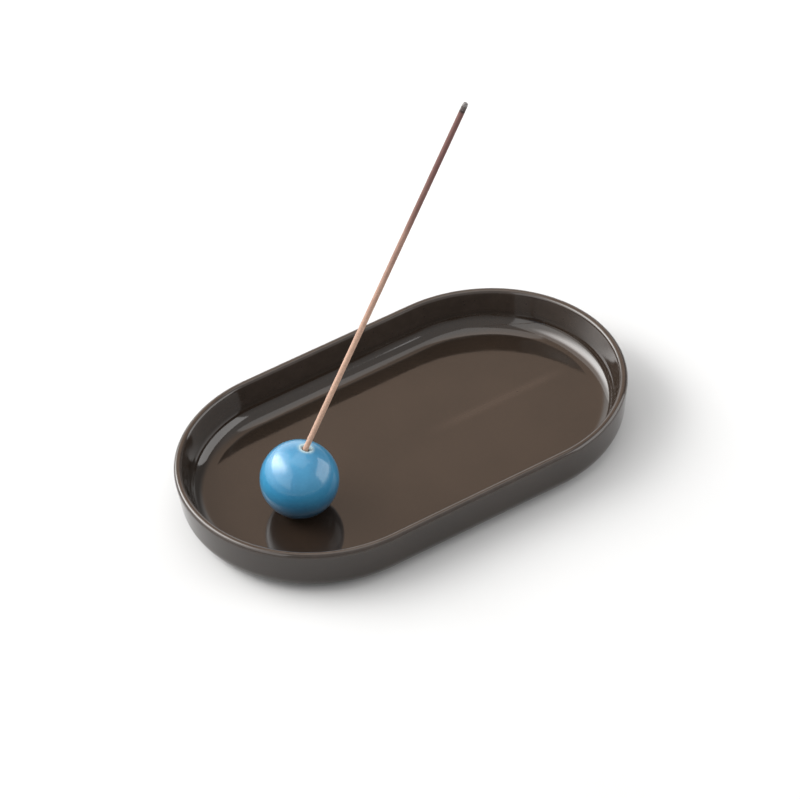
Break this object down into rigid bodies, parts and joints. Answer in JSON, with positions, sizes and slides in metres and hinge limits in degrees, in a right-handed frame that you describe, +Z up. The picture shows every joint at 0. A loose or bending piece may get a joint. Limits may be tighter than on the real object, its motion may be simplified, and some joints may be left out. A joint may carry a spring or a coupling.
{
  "type": "incense burner",
  "caption": "Oval glazed stoneware ash tray with a loose glazed ball that holds a leaning incense stick above it.",
  "frame": {"origin": "middle of the tray on the surface that its pads stand on", "axes": "+X along the tray, from the ball end to the empty end; +Y across it; +Z up"},
  "size_m": [0.17, 0.1004, 0.1592],
  "materials": {
    "tray_glaze": "glossy dark brown glaze over stoneware, bare clay on the foot ring",
    "ball_glaze": "glossy sky blue glaze, bare clay at the hole's bevel and on the flat",
    "pad_rubber": "matte soft pad",
    "incense": "matte pressed wood powder",
    "char": "burnt and matte, with a little grey ash"
  },
  "bodies": {
    "tray": {"tray": "tray_glaze", "tray_pad_1": "pad_rubber", "tray_pad_2": "pad_rubber", "tray_pad_3": "pad_rubber", "tray_pad_4": "pad_rubber"},
    "holder_foot": {"ball_pad": "pad_rubber"},
    "holder": {"holder_ball": "ball_glaze"},
    "stick": {"incense_stick": "incense", "charred_tip": "char"}
  },
  "joints": [
    {"name": "holder_lift", "type": "slide", "parent": "tray", "child": "holder_foot", "axis": [0, 0, 1], "range_m": [0, 0.05]},
    {"name": "holder_turn", "type": "hinge", "parent": "holder_foot", "child": "holder", "pos_m": [-0.0454, -0.0048, 0.0048], "axis": [0, 0, 1], "continuous": true},
    {"name": "stick_pull", "type": "slide", "parent": "holder", "child": "stick", "axis": [0.4393, -0.1014, 0.8926], "range_m": [0, 0.03]}
  ]
}
